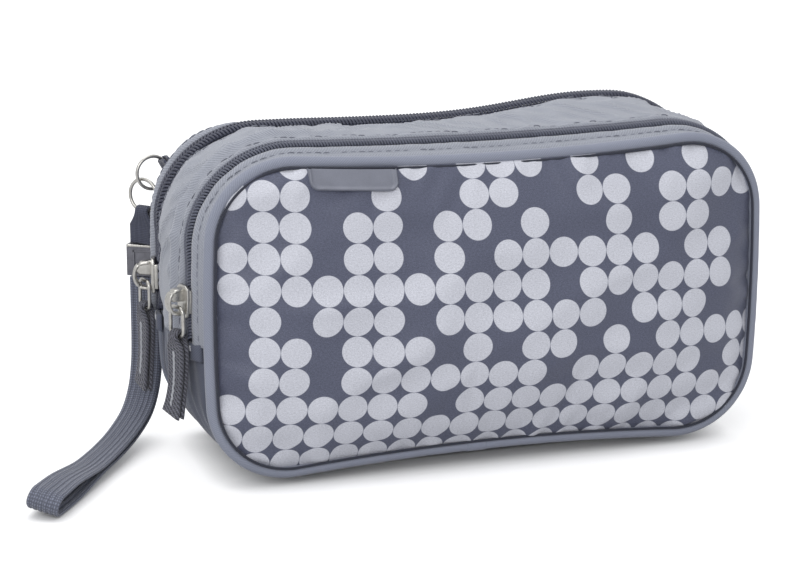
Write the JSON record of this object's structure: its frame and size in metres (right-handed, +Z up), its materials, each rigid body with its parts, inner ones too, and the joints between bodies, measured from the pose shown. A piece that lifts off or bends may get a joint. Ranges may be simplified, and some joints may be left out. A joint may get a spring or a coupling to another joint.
{
  "type": "travel pouch organizer",
  "caption": "Soft travel organizer pouch with a dotted padded front, two zipped compartments that fold open, inner loops and a mesh pocket, and a doubled wrist strap.",
  "frame": {"origin": "middle of the flat base, on the surface it stands on", "axes": "+X along the width, +Y towards the back (the printed front faces -Y), +Z up"},
  "size_m": [0.2517, 0.0874, 0.108],
  "materials": {
    "printed_satin": "dark blue-grey satin twill with a printed pattern of light grey dots",
    "dark_satin": "plain dark blue-grey satin twill",
    "light_twill": "light blue-grey polyester twill",
    "base_twill": "dark grey polyester twill",
    "piping": "blue-grey corded piping tape",
    "lining": "smooth grey lining",
    "coil_mid": "nylon zipper coil",
    "coil_dark": "nylon zipper coil, larger and nearly black",
    "zip_tape": "woven zipper tape",
    "rubber": "moulded grey rubber badge, no lettering",
    "nickel": "nickel-plated, satin",
    "clamp_metal": "crimped grey metal plate",
    "pull_webbing": "dark webbing with one reflective thread",
    "dark_webbing": "dark grosgrain webbing",
    "strap_webbing": "blue-grey ribbed webbing",
    "elastic": "black woven elastic",
    "mesh": "open knitted mesh"
  },
  "bodies": {
    "pouch": {"base_gusset": "base_twill", "middle_gusset": "light_twill", "front_panel_lower": "printed_satin", "rear_panel_lower": "dark_satin", "front_piping_lower": "piping", "rear_piping_lower": "piping", "front_zip_coil_pouch": "coil_mid", "front_zip_tape_pouch": "zip_tape", "rear_zip_coil_pouch": "coil_dark", "rear_zip_tape_pouch": "zip_tape", "front_zip_end_left": "base_twill", "front_zip_end_right": "base_twill", "rear_zip_end_left": "base_twill", "rear_zip_end_right": "base_twill", "divider": "lining", "elastic_loops": "elastic", "mesh_pocket": "mesh", "mesh_pocket_binding": "dark_webbing"},
    "front_cover": {"front_panel_upper": "printed_satin", "front_lining": "lining", "front_piping_upper": "piping", "front_gusset": "light_twill", "front_zip_coil_cover": "coil_mid", "front_zip_tape_cover": "zip_tape", "badge": "rubber"},
    "rear_cover": {"rear_panel_upper": "dark_satin", "rear_lining": "lining", "rear_piping_upper": "piping", "rear_gusset": "light_twill", "rear_zip_coil_cover": "coil_dark", "rear_zip_tape_cover": "zip_tape", "side_ring_tab": "dark_webbing"},
    "front_slider": {"front_slider": "nickel"},
    "rear_slider": {"rear_slider": "nickel"},
    "front_pull_link": {"front_pull_link": "nickel"},
    "rear_pull_link": {"rear_pull_link": "nickel"},
    "front_pull_tab": {"front_pull_tab": "pull_webbing"},
    "rear_pull_tab": {"rear_pull_tab": "pull_webbing"},
    "side_ring": {"side_ring": "nickel"},
    "strap_ring": {"strap_ring": "nickel"},
    "strap": {"strap_top_loop": "dark_webbing", "strap_bar": "nickel", "strap_clamp": "clamp_metal", "wrist_strap": "strap_webbing"}
  },
  "joints": [
    {"name": "front_cover_open", "type": "hinge", "parent": "pouch", "child": "front_cover", "pos_m": [0, -0.0454, 0.046], "axis": [1, 0, 0], "range_deg": [0, 50]},
    {"name": "rear_cover_open", "type": "hinge", "parent": "pouch", "child": "rear_cover", "pos_m": [0, 0.039, 0.046], "axis": [-1, 0, 0], "range_deg": [0, 50], "deforming": ["wrist_strap"]},
    {"name": "front_slider_travel", "type": "slide", "parent": "pouch", "child": "front_slider", "axis": [0, 0, 1], "range_m": [-0.004, 0.012]},
    {"name": "rear_slider_travel", "type": "slide", "parent": "pouch", "child": "rear_slider", "axis": [0, 0, 1], "range_m": [-0.004, 0.012]},
    {"name": "front_pull_link_swing", "type": "hinge", "parent": "front_slider", "child": "front_pull_link", "pos_m": [-0.1015, -0.02103, 0.0584], "axis": [-0.4067, 0.9135, 0], "range_deg": [0, 75]},
    {"name": "front_pull_tab_swing", "type": "hinge", "parent": "front_pull_link", "child": "front_pull_tab", "pos_m": [-0.1015, -0.02103, 0.0489], "axis": [-0.4067, 0.9135, 0], "range_deg": [0, 60]},
    {"name": "rear_pull_link_swing", "type": "hinge", "parent": "rear_slider", "child": "rear_pull_link", "pos_m": [-0.10199, 0.02132, 0.05701], "axis": [-0.2079, 0.9781, 0], "range_deg": [0, 75]},
    {"name": "rear_pull_tab_swing", "type": "hinge", "parent": "rear_pull_link", "child": "rear_pull_tab", "pos_m": [-0.10199, 0.02132, 0.04751], "axis": [-0.2079, 0.9781, 0], "range_deg": [0, 60]},
    {"name": "side_ring_swing", "type": "hinge", "parent": "rear_cover", "child": "side_ring", "pos_m": [-0.08981, 0.03963, 0.09195], "axis": [-0.4924, -0.0868, 0.866], "range_deg": [-15, 0]},
    {"name": "strap_ring_swing", "type": "hinge", "parent": "side_ring", "child": "strap_ring", "pos_m": [-0.09784, 0.03821, 0.08487], "axis": [0.776, 0.1368, -0.6157], "range_deg": [0, 15]},
    {"name": "strap_swing", "type": "hinge", "parent": "strap_ring", "child": "strap", "pos_m": [-0.09784, 0.03821, 0.07627], "axis": [-0.6428, 0.766, 0], "range_deg": [0, 40]}
  ]
}
